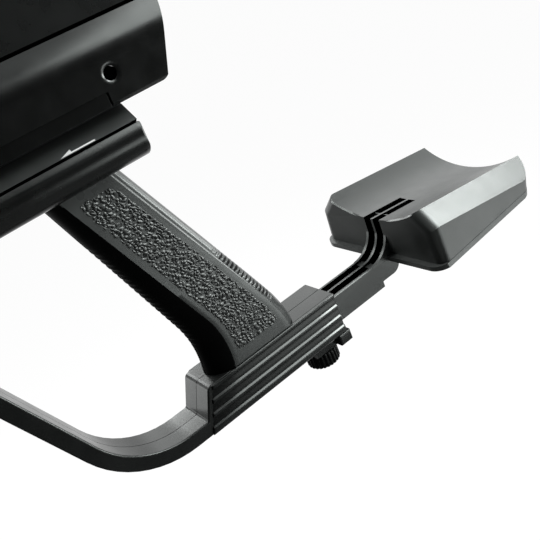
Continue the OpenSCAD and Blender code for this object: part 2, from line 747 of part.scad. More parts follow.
// Prisms of the cradle's front and sides, its shoulders and its slanted rear end, drawn in by inset
module front_prism(inset) {
    both_sides() in_side() translate([0, 0, -60]) linear_extrude(120) polygon(rounded([
        [cradle_front + inset, inset, cradle_nose - inset], [cradle_rear + 60, inset, 0],
        [cradle_rear + 60, 200, 0], [cradle_front + inset, 200, 0]
    ]));
}
module shoulder_prism(inset) {
    lean = atan(cos(trough_tilt));
    fall = sin(trough_tilt) * cos(lean);
    in_by = inset * sqrt(1 + fall * fall);
    both_sides() translate([0, shoulder_w - cradle_half, trough_edge_z]) rotate([-lean, 0, 0])
        translate([0, 0, -60]) linear_extrude(200) polygon(rounded([
            [cradle_front + inset, fall * inset + in_by, cradle_nose - inset],
            [cradle_rear + 60, fall * (cradle_len + 60) + in_by, 0],
            [cradle_rear + 60, 300, 0], [cradle_front + inset, 300, 0]
        ]));
}
module rear_prism(inset, end) {
    drop = cradle_len * tan(trough_tilt);
    intersection() {
        both_sides() in_side() translate([cradle_rear, 0, shoulder_w - drop]) rotate([0, rear_slant, 0])
            translate([0, 0, -60]) linear_extrude(120) polygon(rounded([
                [-200, inset - 0.05, 0], [-end, inset - 0.05, cradle_corner - inset],
                [-end, 200, 0], [-200, 200, 0]
            ]));
        translate([cradle_rear, 0, trough_edge_z - drop]) rotate([0, rear_slant, 0])
            block([-200, -90, -60], [0.35 - end, 90, 60]);
    }
}
// Children in the rim's frame: its front edge at the origin, rising to the rear
module in_rim() {
    translate([cradle_front - rim_out, 0, rim_bottom]) rotate([0, -rim_tilt, 0]) children();
}
// Children in the trough's frame: its front edge at the origin, sloping down to the rear
module in_trough() {
    translate([cradle_front, 0, trough_edge_z]) rotate([0, trough_tilt, 0]) children();
}
// Half section of the space over the trough
function trough_space(r) = concat([for (i = [0:18]) let (a = i * 2.5)
    [r * sin(a), trough_r - trough_depth - r * cos(a)]], [[r * sin(45), 40], [0, 40]]);
// Body of the cradle, drawn in by inset on all its outer faces
module cradle_body(inset) {
    section = [[0, -80], [70, -80], [70, -inset], [0, -inset]];
    intersection() {
        front_prism(inset);
        shoulder_prism(inset);
        rear_prism(inset, inset);
        in_rim() block([-20, -80, inset > 0 ? -20 : 0], [cradle_len + 40, 80, 70]);
        in_trough() difference() {
            along_x(section, -20, cradle_len + 20);
            along_x(trough_space(trough_r + inset), -30, cradle_len + 30);
        }
    }
}
groove_run = 33;
cross_bar_x = 9.4;
cross_bar_t = 0.9;
bar_half = beam_w / 2 - 0.6;
module cradle() {
    lip_z = trough_edge_z - trough_depth;
    neck_outline = concat(
        [[neck_x, seat_z]],
        [for (i = [0:12]) let (a = i * 7.5) [neck_x + neck_r * sin(a), beam_top + neck_r * (1 - cos(a))]],
        [[wall_x, lip_z - 1], [neck_back, lip_z - 1], [neck_back, seat_z]]
    );
    color("#2c302f") difference() {
        union() {
            difference() {
                cradle_body(0);
                cradle_body(cradle_wall);
            }
            // Rim round the foot
            difference() {
                intersection() {
                    in_rim() linear_extrude(rim_h) polygon(rounded([
                        [0, -cradle_half - rim_out, cradle_nose + rim_out],
                        [cradle_len + 40, -cradle_half - rim_out, 0],
                        [cradle_len + 40, cradle_half + rim_out, 0],
                        [0, cradle_half + rim_out, cradle_nose + rim_out]
                    ]));
                    both_sides() in_side() block([0, -0.3, -60], [cradle_rear + 60, 200, 60]);
                    rear_prism(-0.35, 0.02);
                }
                intersection() {
                    front_prism(1);
                    rear_prism(1, 1);
                }
            }
            // Neck, and the bar that carries it on under the trough
            rotate([90, 0, 0]) linear_extrude(beam_w, center = true) polygon(neck_outline);
            in_trough() block([2, -bar_half, -trough_depth - 6], [groove_run, bar_half, -trough_depth - 0.8]);
        }
        for (s = [-1, 1]) translate([0, s * groove_mid, 0]) neck_groove_space();
        cradle_fixings(true);
        // Seat of the beam's tail
        block([cradle_front - rim_out - 2, -beam_w / 2 - fit_gap, rim_bottom - 2],
            [beam_end + fit_gap, beam_w / 2 + fit_gap, seat_z]);
    }
}
// Groove that climbs the neck and runs on along the trough
module neck_groove_space() {
    floor_r = neck_r + neck_groove;
    climb = concat(
        [[neck_x - 1, trough_edge_z + 5], [neck_x - 1, beam_top - 1.9]],
        [for (i = [0:12]) let (a = i * 7.5)
            [neck_x + floor_r * sin(a), beam_top - 1.9 + (neck_r + 1.9) * (1 - cos(a))]],
        [[neck_x + floor_r, trough_edge_z + 5]]
    );
    rotate([90, 0, 0]) linear_extrude(groove_wide, center = true) polygon(climb);
    in_trough() difference() {
        block([-2, -groove_wide / 2, -trough_depth - neck_groove], [groove_run - 3, groove_wide / 2, 5]);
        block([cross_bar_x, -groove_wide, -trough_depth - neck_groove - 1],
            [cross_bar_x + cross_bar_t, groove_wide, -trough_depth - 0.7]);
    }
}
module cradle_screws() {
    color("#8d9194") cradle_fixings(false);
}
module stop_pins() {
    color("#9a9ea1") for (s = [-1, 1]) translate([stop_x, s * groove_mid, grip_foot - 1.2 - pin_len])
        cylinder(r = pin_r, h = pin_len);
}

// Clamp screw
module clamp_knob() {
    color("#0a0b0b") translate([screw_x, 0, knob_bottom]) difference() {
        union() {
            cylinder(r = knob_r, h = knob_h - 1);
            cylinder(r1 = knob_r, r2 = knob_r - 1, h = lens);
            translate([0, 0, knob_h - 1]) cylinder(r1 = knob_r, r2 = knob_r - 1, h = 1);
        }
        for (i = [0:knob_flutes - 1]) rotate(360 * i / knob_flutes)
            translate([knob_r + 0.35, 0, -1]) cylinder(r = 0.8, h = knob_h + 2, $fn = 24);
        translate([0, 0, 1.5]) cylinder(r = stud_r + fit_gap, h = knob_h);
    }
}
module clamp_stud() {
    color("#9a9ea1") translate([screw_x, 0, knob_bottom + 1.5 + fit_gap])
        cylinder(r = stud_r, h = shoe_bottom - fit_gap - knob_bottom - 1.5 - fit_gap);
}
module clamp_nut() {
    color("#9a9ea1") translate([screw_x, 0, nut_bottom]) difference() {
        cylinder(r = nut_w / 2, h = nut_h, $fn = 6);
        translate([0, 0, -1]) cylinder(r = stud_r + 0.04, h = nut_h + 2);
    }
}
module clamp_shoe() {
    color("#b9a24a") block([screw_x - shoe_side / 2, -shoe_side / 2, shoe_bottom],
        [screw_x + shoe_side / 2, shoe_side / 2, shoe_top]);
}

grip_left();
grip_right();
grip_panel_left();
grip_panel_right();
grip_screws();
frame_left();
frame_right();
rib_plate_left();
rib_plate_right();
frame_screws();
deck_tray();
deck_cover();
deck_screws();
bay_tray();
side_rail_left();
side_rail_right();
roof();
front_cap();
cap_screws();
bay_pads();
bay_screws();
arm_beam();
cradle();
cradle_screws();
stop_pins();
clamp_knob();
clamp_stud();
clamp_nut();
clamp_shoe();
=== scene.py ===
import json
import math
from collections import namedtuple

import bmesh
import bpy
from mathutils import Euler, Matrix, Vector, noise
from mathutils.bvhtree import BVHTree


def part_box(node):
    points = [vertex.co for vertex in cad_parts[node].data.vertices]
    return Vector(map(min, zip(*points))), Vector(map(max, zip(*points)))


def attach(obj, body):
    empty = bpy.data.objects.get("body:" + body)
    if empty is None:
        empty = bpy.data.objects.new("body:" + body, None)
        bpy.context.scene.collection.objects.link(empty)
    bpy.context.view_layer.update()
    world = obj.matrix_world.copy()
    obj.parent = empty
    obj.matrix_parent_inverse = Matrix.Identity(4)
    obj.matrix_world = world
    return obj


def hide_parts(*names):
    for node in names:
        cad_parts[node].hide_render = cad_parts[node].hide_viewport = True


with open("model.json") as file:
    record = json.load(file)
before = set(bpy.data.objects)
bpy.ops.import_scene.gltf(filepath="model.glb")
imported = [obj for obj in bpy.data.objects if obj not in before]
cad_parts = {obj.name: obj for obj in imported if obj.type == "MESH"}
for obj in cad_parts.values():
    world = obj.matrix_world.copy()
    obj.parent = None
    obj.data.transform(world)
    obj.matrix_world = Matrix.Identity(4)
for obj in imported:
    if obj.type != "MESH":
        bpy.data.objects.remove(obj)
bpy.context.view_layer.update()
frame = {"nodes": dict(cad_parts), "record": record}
nodes = frame["nodes"]
record = frame["record"]
body_of = {node: body for body, group in record["behaviour"]["bodies"].items() for node in group}
slot_of = {subpart["node"]: subpart["material_slot"] for subpart in record["subparts"]}
scene = bpy.context.scene
scene.view_settings.view_transform = "Standard"
# Sizes are written in millimetres and turned into metres by MM. The camera, floor and lamps are in metres
MM = 0.001
X, Y, Z = range(3)
WHITE = (1.0, 1.0, 1.0)


def span(node, axis):
    """Lowest and highest place of a CAD node along an axis, in millimetres, to a tenth."""
    low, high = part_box(node)
    return round(low[axis] / MM, 1), round(high[axis] / MM, 1)


def smooth(value, low, high):
    """Goes gently from 0 at low to 1 at high."""
    share = min(1, max(0, (value - low) / (high - low)))
    return share * share * (3 - 2 * share)


def fade(value, start, full, waning, end):
    """Is 1 from full to waning, and 0 before start and after end."""
    return smooth(value, start, full) * (1 - smooth(value, waning, end))


# Material nodes
def node_material(name):
    material = bpy.data.materials.new(name)
    material.use_nodes = True
    return material, material.node_tree, material.node_tree.nodes["Principled BSDF"]


def add(tree, kind, **values):
    """A new node. Each value goes to the input of that name, or else to the node's own setting."""
    node = tree.nodes.new(kind)
    for key, value in values.items():
        if key in node.inputs:
            node.inputs[key].default_value = value
        else:
            setattr(node, key, value)
    return node


def ramp(tree, source, stops):
    """Colour between two stops, each a place and a colour."""
    node = add(tree, "ShaderNodeValToRGB")
    for element, (place, colour) in zip(node.color_ramp.elements, stops):
        element.position = place
        element.color = (*colour, 1)
    tree.links.new(source, node.inputs[0])
    return node.outputs["Color"]


def blend(tree, share, first, second):
    """Goes from the colour that first gives to the fixed colour second."""
    mix = add(tree, "ShaderNodeMix", data_type="RGBA")
    tree.links.new(share, mix.inputs["Factor"])
    tree.links.new(first, mix.inputs["A"])
    mix.inputs["B"].default_value = (*second, 1)
    return mix.outputs["Result"]


def remap(tree, source, to_min, to_max, from_min=0.0, from_max=1.0):
    limits = {"From Min": from_min, "From Max": from_max, "To Min": to_min, "To Max": to_max}
    level = add(tree, "ShaderNodeMapRange", **limits)
    tree.links.new(source, level.inputs["Value"])
    return level.outputs["Result"]


def noise_at(tree, place, **values):
    pattern = add(tree, "ShaderNodeTexNoise", **values)
    tree.links.new(place, pattern.inputs["Vector"])
    return pattern.outputs["Fac"]


def reach_along(tree, coordinates, direction):
    """How far a point or a ray reaches along a direction."""
    product = add(tree, "ShaderNodeVectorMath", operation="DOT_PRODUCT")
    tree.links.new(add(tree, "ShaderNodeTexCoord").outputs[coordinates], product.inputs[0])
    product.inputs[1].default_value = direction
    return product.outputs["Value"]


# Materials
CLOUD_SCALE = 45.0
SMEAR_SCALE = 130.0
SCRATCH_SCALE = 900.0
GRAIN_HEIGHT = 0.06 * MM
WORN_EDGES = (0.52, 0.62)
COOL_GLOSS = (0.93, 1.0, 0.97, 1)


def moulded(name, dark, light, rough, spec, grain=0.35, grain_mm=0.45, wear=0.5, spread=0.03):
    """Moulded plastic: cloudy tone, paler worn edges, uneven gloss and a fine grain."""
    material, tree, shader = node_material(name)
    place = add(tree, "ShaderNodeTexCoord").outputs["Object"]
    cloud = noise_at(tree, place, Scale=CLOUD_SCALE, Detail=4.0, Roughness=0.6)
    tone = ramp(tree, cloud, [(0.3, dark), (0.72, light)])
    sharpness = add(tree, "ShaderNodeNewGeometry").outputs["Pointiness"]
    edge = ramp(tree, sharpness, zip(WORN_EDGES, [(0, 0, 0), (wear, wear, wear)]))
    worn = [min(1, level * 2.2 + 0.002) for level in light]
    tree.links.new(blend(tree, edge, tone, worn), shader.inputs["Base Color"])
    smear = noise_at(tree, place, Scale=SMEAR_SCALE, Detail=3.0)
    gloss = remap(tree, smear, rough - spread, rough + spread, 0.3, 0.7)
    tree.links.new(gloss, shader.inputs["Roughness"])
    fine = noise_at(tree, place, Scale=1000.0 / grain_mm, Detail=2.0)
    bump = add(tree, "ShaderNodeBump", Strength=grain, Distance=GRAIN_HEIGHT)
    tree.links.new(fine, bump.inputs["Height"])
    tree.links.new(bump.outputs["Normal"], shader.inputs["Normal"])
    shader.inputs["Specular IOR Level"].default_value = spec
    shader.inputs["Specular Tint"].default_value = COOL_GLOSS
    return material


def metal(name, dark, light, rough, density):
    """Turned metal with fine scratches. Density says how close they lie along each axis."""
    material, tree, shader = node_material(name)
    place = add(tree, "ShaderNodeTexCoord").outputs["Object"]
    mapping = add(tree, "ShaderNodeMapping", Scale=density)
    tree.links.new(place, mapping.inputs["Vector"])
    scratch = noise_at(tree, mapping.outputs["Vector"], Scale=SCRATCH_SCALE, Detail=4.0)
    tone = ramp(tree, scratch, [(0.3, dark), (0.7, light)])
    tree.links.new(tone, shader.inputs["Base Color"])
    tree.links.new(remap(tree, scratch, rough - 0.08, rough + 0.1), shader.inputs["Roughness"])
    shader.inputs["Metallic"].default_value = 1.0
    return material


def black(level, tint):
    """Near black, with a faint green cast where tint is 1."""
    return (level, level * (1 + 0.09 * tint), level * (1 + 0.06 * tint))


def black_plastic(name, dark, light, tint=1, **finish):
    return moulded(name, black(dark, tint), black(light, tint), **finish)


PLASTICS = {
    "grip_shell": dict(dark=0.020, light=0.030, rough=0.28, spec=0.5, grain=0.2),
    # The near-black finish for the front strap and the back strap's groove floors is painted shade on the
    # grip's own plastic
    "strap": dict(dark=0.001, light=0.002, rough=0.5, spec=0.04, grain=0.3, grain_mm=0.4, wear=0.2),
    "grained_panel": dict(dark=0.008, light=0.016, rough=0.33, spec=0.55, grain=0.3, grain_mm=0.3),
    "frame_shell": dict(dark=0.003, light=0.006, rough=0.24, spec=0.42, grain=0.15),
    "rib_plate": dict(dark=0.005, light=0.009, rough=0.20, spec=0.55, grain=0.05, wear=0.1),
    # A darker finish that is painted shade on the flute floors of the ribbed plates
    "rib_painted_shade": dict(dark=0.002, light=0.004, rough=0.24, spec=0.28, grain=0.05, wear=0.0),
    "deck_tray": dict(dark=0.001, light=0.002, rough=0.26, spec=0.5, grain=0.08, spread=0.02),
    "deck_cover": dict(dark=0.016, light=0.030, rough=0.34, spec=0.5, grain=0.2),
    "bay_shell": dict(dark=0.0008, light=0.0016, rough=0.23, spec=0.45, grain=0.12),
    "roof_shell": dict(dark=0.002, light=0.004, rough=0.28, spec=0.3, grain=0.15),
    "rail_strip": dict(dark=0.0008, light=0.0016, rough=0.32, spec=0.10, grain=0.2),
    # The near-black inside finish is painted shade: it goes on seam faces, joint faces, the bay's inner
    # faces and the walls and floors of grooves
    "inside": dict(dark=0.0001, light=0.0003, rough=0.6, spec=0.0, grain=0.3, grain_mm=0.5, wear=0.0),
    "rubber": dict(dark=0.010, light=0.018, tint=0, rough=0.75, spec=0.3, grain=0.6, grain_mm=0.7),
    "beam": dict(dark=0.008, light=0.014, rough=0.34, spec=0.5),
    "cradle": dict(dark=0.008, light=0.013, rough=0.33, spec=0.55),
    "knob": dict(dark=0.0015, light=0.003, rough=0.42, spec=0.08, wear=0.1),
}
look = {name: black_plastic(name, **values) for name, values in PLASTICS.items()}
look["print"] = moulded("print", (0.62, 0.64, 0.63), (0.74, 0.76, 0.75), rough=0.5, spec=0.4,
                        grain=0.3, grain_mm=0.3, wear=0.0)
look["steel"] = metal("steel", (0.42, 0.43, 0.44), (0.62, 0.63, 0.64), 0.34, density=(1, 1, 6))
look["brass"] = metal("brass", (0.55, 0.40, 0.14), (0.78, 0.60, 0.26), 0.36, density=(6, 1, 1))


# Making of pieces
def place_piece(obj, stands_for, body=None, slot=None):
    scene.collection.objects.link(obj)
    if stands_for:
        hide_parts(*stands_for)
    first = stands_for[0] if stands_for else None
    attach(obj, body or body_of[first])
    slot = slot or slot_of[first]
    obj.data.materials.clear()
    obj.data.materials.append(look[slot])
    return obj


def paint(obj, name, pick):
    """Gives another material to the faces that pick chooses by their centre and normal."""
    obj.data.materials.append(look[name])
    for face in obj.data.polygons:
        if pick(face.center / MM, face.normal):
            face.material_index = 1


def finish_normals(mesh, angle=38):
    """Smooth shading that stops at edges sharper than the angle."""
    mesh.shade_smooth()
    work = bmesh.new()
    work.from_mesh(mesh)
    for edge in work.edges:
        edge.smooth = len(edge.link_faces) == 2 and edge.calc_face_angle(0) < math.radians(angle)
    work.to_mesh(mesh)
    work.free()


def solid(name, verts, faces, stands_for, body=None, slot=None, angle=38):
    """A new piece from points in millimetres. Points at the same place become one."""
    mesh = bpy.data.meshes.new(name)
    mesh.from_pydata([Vector(vert) * MM for vert in verts], [], faces)
    mesh.validate()
    work = bmesh.new()
    work.from_mesh(mesh)
    bmesh.ops.remove_doubles(work, verts=work.verts[:], dist=1e-7)
    bmesh.ops.recalc_face_normals(work, faces=work.faces[:])
    work.to_mesh(mesh)
    work.free()
    finish_normals(mesh, angle)
    return place_piece(bpy.data.objects.new(name, mesh), stands_for, body, slot)


def band(first, second):
    """Faces between two closed loops of points."""
    count = len(first)
    following = [(i + 1) % count for i in range(count)]
    return [(first[i], first[j], second[j], second[i]) for i, j in enumerate(following)]


def bands(count, around):
    """Faces between closed loops that follow each other, each of as many points."""
    loops = [range(start, start + around) for start in range(0, count, around)]
    return [face for first, second in zip(loops, loops[1:]) for face in band(first, second)]


def grid_faces(across, along):
    """Faces of a grid of points that runs row by row."""
    width = across + 1
    starts = [j * width + i for j in range(along) for i in range(across)]
    return [(start, start + 1, start + width + 1, start + width) for start in starts]


def grid_rim(across, along):
    """The points round the edge of such a grid, in order."""
    width = across + 1
    rim = list(range(width)) + [j * width + across for j in range(1, along + 1)]
    rim += [along * width + i for i in range(across - 1, -1, -1)]
    return rim + [j * width for j in range(along - 1, 0, -1)]


# Hand grip: two lofted shells with cross ribs on the straps, and a grained panel let into each side
FOOT = span("rib_plate_left", Z)[1]
TOP = span("deck_tray", Z)[0]
HALF = span("grip_right", Y)[1]
# A strap's place at the middle height, rake in degrees, height of its curve and slope at the foot
FRONT_LINE = dict(middle=-21.8, rake=20.0, curve=31, flare=0.2)
BACK_LINE = dict(middle=20.6, rake=25.6, curve=23, flare=-0.12)
# Front strap: even near the foot, less deep towards the top, half of it an arc in degrees
FRONT_DEPTH = 11.4
FRONT_TAPER = 6.2
FRONT_EVEN = 27
FRONT_ARC = 62
FRONT_PITCH = 3.4
FRONT_CUT = 0.36
FRONT_CUT_SHAPE = 1.5
# Heights where the ribs start, are full, wane and end, and the angles between which a cut runs out
FRONT_RIBS = (-44, -34, 24, 34)
FRONT_CUT_ENDS = (10, 32)
# Back strap: set off from the side by a small step, with a crease below the heights given
BACK_DEPTH = 5.8
BACK_STEP = 0.6
BACK_PITCH = 2.4
BACK_CUT = 0.75
BACK_RIBS = (-39, -36, -8, 6)
BACK_CUT_STARTS = (-1, 14)
BACK_BULGE = 0.85
BACK_FULLNESS = 0.8
CREASED = (-38, -12)
CREASED_START = 35
SMOOTH_START = 6
# Limits of the painted shade on the grip: the groove depth, as a share, past which a back strap floor
# gets it, where it begins behind the step, and where the shaded front strap stops before the crease
DARK_GROOVE = 0.62
DARK_BEHIND_STEP = 0.7
DARK_BEFORE_CREASE = 0.2
# Points of a ring, the split between the two shells, and the levels from the rounded foot to the top
ARC_STEPS = 24
SIDE_STEPS = 13
STEP_PROFILE = ((-0.3, 0.12), (0.0, 0.34), (0.3, BACK_STEP))
SPLIT = 0.02
SPLIT_NOTCH = 0.25
FOOT_EDGE = ((0.12, 0.45), (0.3, 0.12), (0.6, 0.0))
SHELL_LOW = FOOT + 0.9
SHELL_HIGH = TOP - 0.6
SHELL_LEVELS = 370
TOP_LEVELS = (TOP - 0.3, TOP - 0.05)


def strap_line(z, middle, rake, curve, flare):
    """Where a strap is at height z: straight and raked, and curved near the foot towards its flare."""
    slope = math.tan(math.radians(rake))
    bent = max(0, FOOT + curve - z)
    return middle - z * slope - (slope + flare) * bent * bent / (2 * curve)


def front_x(z):
    return strap_line(z, **FRONT_LINE)


def crease_x(z):
    """Where the front strap meets the flat side."""
    tapered = max(0, z - FOOT - FRONT_EVEN) / (TOP - FOOT - FRONT_EVEN)
    return front_x(z) + FRONT_DEPTH - FRONT_TAPER * tapered


def back_x(z):
    return strap_line(z, **BACK_LINE)


def ripple(z, pitch):
    return 0.5 - 0.5 * math.cos(2 * math.pi * z / pitch)


def front_groove(z):
    return ripple(z, FRONT_PITCH) ** FRONT_CUT_SHAPE * fade(z, *FRONT_RIBS)


def back_groove(z):
    return ripple(z, BACK_PITCH) * fade(z, *BACK_RIBS)


def front_points(z, inset):
    """Half of the round front strap, from the split to the crease."""
    depth = crease_x(z) - front_x(z)
    arc = math.radians(FRONT_ARC)
    points = []
    for i in range(ARC_STEPS + 1):
        angle = FRONT_ARC * i / ARC_STEPS
        ahead = math.cos(math.radians(angle))
        aside = math.sin(math.radians(angle))
        cut = inset + FRONT_CUT * front_groove(z) * (1 - smooth(angle, *FRONT_CUT_ENDS))
        x = front_x(z) + depth * (1 - ahead) / (1 - math.cos(arc)) + cut * ahead
        points.append((x, HALF * aside / math.sin(arc) - cut * aside))
    points[0] = (points[0][0] + SPLIT_NOTCH, SPLIT)
    return points


def side_points(z, inset):
    """The flat side, and the small step down to the back strap."""
    crease = crease_x(z)
    end = back_x(z) - BACK_DEPTH
    length = end - BACK_STEP - crease
    flat = [(crease + length * i / SIDE_STEPS, HALF - inset) for i in range(1, SIDE_STEPS + 1)]
    return flat + [(end + x, HALF - drop - inset) for x, drop in STEP_PROFILE]


def back_points(z, inset):
    """Half of the back strap: it runs smoothly out of the side, or near the foot starts at a crease."""
    creased = 1 - smooth(z, *CREASED)
    start = SMOOTH_START + (CREASED_START - SMOOTH_START) * creased
    lead = creased * math.sin(math.radians(start)) ** BACK_BULGE
    wide = math.cos(math.radians(start)) ** creased
    points = []
    for i in range(1, ARC_STEPS + 1):
        angle = start + (90 - start) * i / ARC_STEPS
        aside = max(0, math.cos(math.radians(angle)))
        behind = math.sin(math.radians(angle))
        cut = inset + BACK_CUT * back_groove(z) * smooth(angle - start, *BACK_CUT_STARTS)
        bulge = (behind ** BACK_BULGE - lead) / (1 - lead)
        x = back_x(z) - BACK_DEPTH + BACK_DEPTH * bulge - cut * behind
        y = (HALF - BACK_STEP) * (aside / wide) ** BACK_FULLNESS - cut * aside
        points.append((x, max(SPLIT, y)))
    points[-1] = (points[-1][0] - SPLIT_NOTCH, SPLIT)
    return points


def painted_shade_on_grip(centre, normal):
    """Faces that get painted shade: the whole front strap, and the floors of the grooves in the back
    strap.
    """
    x, _, z = centre
    on_back = x > back_x(z) - BACK_DEPTH + DARK_BEHIND_STEP
    return x < crease_x(z) - DARK_BEFORE_CREASE or on_back and back_groove(z) > DARK_GROOVE


def grip_shell(name, node, side):
    levels = [(FOOT + rise, inset) for rise, inset in FOOT_EDGE]
    height = SHELL_HIGH - SHELL_LOW
    levels += [(SHELL_LOW + height * i / SHELL_LEVELS, 0) for i in range(SHELL_LEVELS + 1)]
    levels += [(z, 0) for z in TOP_LEVELS]
    verts = []
    for z, inset in levels:
        ring = front_points(z, inset) + side_points(z, inset) + back_points(z, inset)
        verts += [(x, side * y, z) for x, y in ring]
    faces = bands(len(verts), len(ring))
    faces += [tuple(range(len(ring))), tuple(range(len(verts) - len(ring), len(verts)))]
    # The front strap and the floors of the back strap's grooves get painted shade
    paint(solid(name, verts, faces, [node], angle=24), "strap", painted_shade_on_grip)


PANEL_LOW, PANEL_HIGH = span("grip_panel_left", Z)
PANEL_BORDER = 3.4
PANEL_CORNER = 4
PANEL_THICK = 1.4
PANEL_EDGE = 0.6
FURROW = 0.10
PEBBLE_HEIGHT = 0.66
PEBBLE_DRIFT = 0.6
RAGGED = 0.8
RUN_OUT = 0.7
ACROSS = 104
ALONG = 410


def pebble(x, z):
    """Height of the leather grain, from 0 in a furrow to 1 on a pebble."""
    place = Vector((x * 0.52 + z * 0.18, z * 0.70 - x * 0.10, 3.7))
    drift = Vector((noise.noise(place * 0.6), noise.noise(place * 0.6 + Vector((9, 4, 2))), 0))
    nearest, second = noise.voronoi(place + drift * PEBBLE_DRIFT)[0][:2]
    dome = max(0.0, 1 - 1.5 * nearest * nearest)
    return dome * smooth(second - nearest, -0.05, 0.22)


def grain_height(x, z, from_sides, from_ends):
    """How far the grain stands out: it runs out along a ragged line with round corners."""
    inside = min(from_sides, from_ends)
    if max(from_sides, from_ends) <= PANEL_CORNER:
        inside = PANEL_CORNER - math.hypot(PANEL_CORNER - from_sides, PANEL_CORNER - from_ends)
    ragged = inside + RAGGED * noise.noise(Vector((x, z, 1.3)) * 0.6)
    return PEBBLE_HEIGHT * pebble(x, z) * smooth(ragged, 0.0, RUN_OUT)


def grain_field():
    """Points of a panel's outer face, in rows from the foot up. The outermost ones are sunk."""
    field = []
    for j in range(ALONG + 1):
        z = PANEL_LOW + (PANEL_HIGH - PANEL_LOW) * j / ALONG
        start = crease_x(z) + PANEL_BORDER
        end = back_x(z) - BACK_DEPTH - PANEL_BORDER
        for i in range(ACROSS + 1):
            x = start + (end - start) * i / ACROSS
            y = HALF - PANEL_EDGE
            if 0 < i < ACROSS and 0 < j < ALONG:
                from_ends = min(z - PANEL_LOW, PANEL_HIGH - z)
                y = HALF - FURROW + grain_height(x, z, min(x - start, end - x), from_ends)
            field.append((x, y, z))
    return field


def grained_panel(name, node, side, field):
    verts = [(x, side * y, z) for x, y, z in field]
    rim = grid_rim(ACROSS, ALONG)
    base = range(len(verts), len(verts) + len(rim))
    verts += [(verts[i][X], side * (HALF - PANEL_THICK), verts[i][Z]) for i in rim]
    faces = grid_faces(ACROSS, ALONG) + band(rim, base) + [tuple(base)]
    solid(name, verts, faces, [node], angle=60)


grain = grain_field()
for side, word in ((-1, "left"), (1, "right")):
    grip_shell("grip_shell_" + word, "grip_" + word, side)
    grained_panel("grained_field_" + word, "grip_panel_" + word, side, grain)


# Ribbed side plates of the clamp housing
PLATE_INNER, PLATE_OUTER = span("rib_plate_right", Y)
PLATE_LOW, PLATE_HIGH = span("rib_plate_right", Z)
PLATE_FRONT, PLATE_REAR = span("rib_plate_right", X)
PLATE_FRONT_TOP = -13.0
PLATE_ROWS = 132
PLATE_OVERLAP = 0.01
PLATE_LEAST = 0.02
EDGE_DEPTH = 0.35
EDGE_REACH = 0.5
LOWER_DEPTH = 0.5
LOWER_REACH = 1.6
# Share of the length, and how far the face is drawn in there to round the ends
PLATE_STATIONS = ((0, 0.32), (0.004, 0.1), (0.009, 0), (0.2, 0), (0.4, 0), (0.6, 0), (0.8, 0),
                  (0.991, 0), (0.996, 0.12), (1, 0.36))
# Flutes, with the ends of their wall and floor and the start of their ramp as shares of the width
FLUTES = 3
FLUTE_PITCH = 6.6
FLUTE_WIDTH = 5.5
FLUTE_TOP = PLATE_HIGH - 1.65
FLUTE_END = FLUTE_TOP - (FLUTES - 1) * FLUTE_PITCH - FLUTE_WIDTH
FLUTE_DEPTH = 1.1
FLUTE_RISE = 0.15
WALL_END = 0.15
FLOOR_END = 0.80
RAMP_START = 0.82


def flute_depth(z):
    """Each flute has a steep upper wall, a floor that rises a little and a ramp to the ridge below."""
    for i in range(FLUTES):
        share = (FLUTE_TOP - i * FLUTE_PITCH - z) / FLUTE_WIDTH
        if RAMP_START < share < 1:
            return (FLUTE_DEPTH - FLUTE_RISE) * (1 - share) / (1 - RAMP_START)
        if 0 < share <= RAMP_START:
            risen = FLUTE_RISE * smooth(share, WALL_END, FLOOR_END)
            return FLUTE_DEPTH * smooth(share, 0, WALL_END) - risen
    return 0


def plate_edge(z):
    """How far the upper and lower edges are rounded off, the lower one more."""
    from_edge = min(PLATE_HIGH - z, z - PLATE_LOW)
    lower = LOWER_DEPTH * (1 - smooth(z - PLATE_LOW, 0, LOWER_REACH))
    return EDGE_DEPTH * (1 - smooth(from_edge, 0, EDGE_REACH)) + lower


# Faces in the flutes, which get painted shade
def painted_shade_in_flute(centre, normal):
    return abs(centre.y) < PLATE_INNER + 0.3 and FLUTE_END - 0.15 < centre.z < FLUTE_TOP + 0.15


def rib_plate(name, node, side):
    verts = []
    height = PLATE_HIGH - PLATE_LOW
    for j in range(PLATE_ROWS + 1):
        lowered = j / PLATE_ROWS
        z = PLATE_HIGH - height * lowered
        front = PLATE_FRONT_TOP + (PLATE_FRONT - PLATE_FRONT_TOP) * lowered
        thick = PLATE_OUTER - PLATE_INNER - flute_depth(z) - plate_edge(z)
        for share, drawn_in in PLATE_STATIONS:
            y = PLATE_INNER + max(PLATE_LEAST, thick - drawn_in)
            verts.append((front + (PLATE_REAR - front) * share, side * y, z))
    across = len(PLATE_STATIONS) - 1
    base = len(verts)
    verts += [(x, side * (PLATE_INNER - PLATE_OVERLAP), z) for x, _, z in verts]
    outer = grid_faces(across, PLATE_ROWS)
    rim = grid_rim(across, PLATE_ROWS)
    faces = outer + [tuple(base + i for i in reversed(face)) for face in outer]
    faces += band(rim, [base + i for i in rim])
    # The flute floors get painted shade
    paint(solid(name, verts, faces, [node], angle=50), "rib_painted_shade", painted_shade_in_flute)


rib_plate("ribbed_plate_left", "rib_plate_left", -1)
rib_plate("ribbed_plate_right", "rib_plate_right", 1)


# Knurled knob: fluted side, rounded edges and a dished end
KNOB_X = sum(span("clamp_knob", X)) / 2
KNOB_LIFT = 0.1
KNOB_FOOT = span("clamp_knob", Z)[0] + KNOB_LIFT
KNOB_STEPS = 288
KNURLS = 24
KNURL_DEPTH = 0.62
KNURL_SHAPE = 1.6
KNURL_FADE = (7.9, 8.9)
# Radius and height above the foot, from the dished end round to the top
KNOB_PROFILE = ((0.0, 0.6), (3.0, 0.6), (6.2, 0.75), (6.8, 0.15), (7.6, 0.0), (8.5, 0.0), (9.0, 0.3),
                (9.3, 0.9), (9.3, 3.5), (9.3, 5.9), (9.3, 7.1), (9.0, 7.75), (8.4, 8.18), (3.2, 8.2),
                (0.0, 8.2))


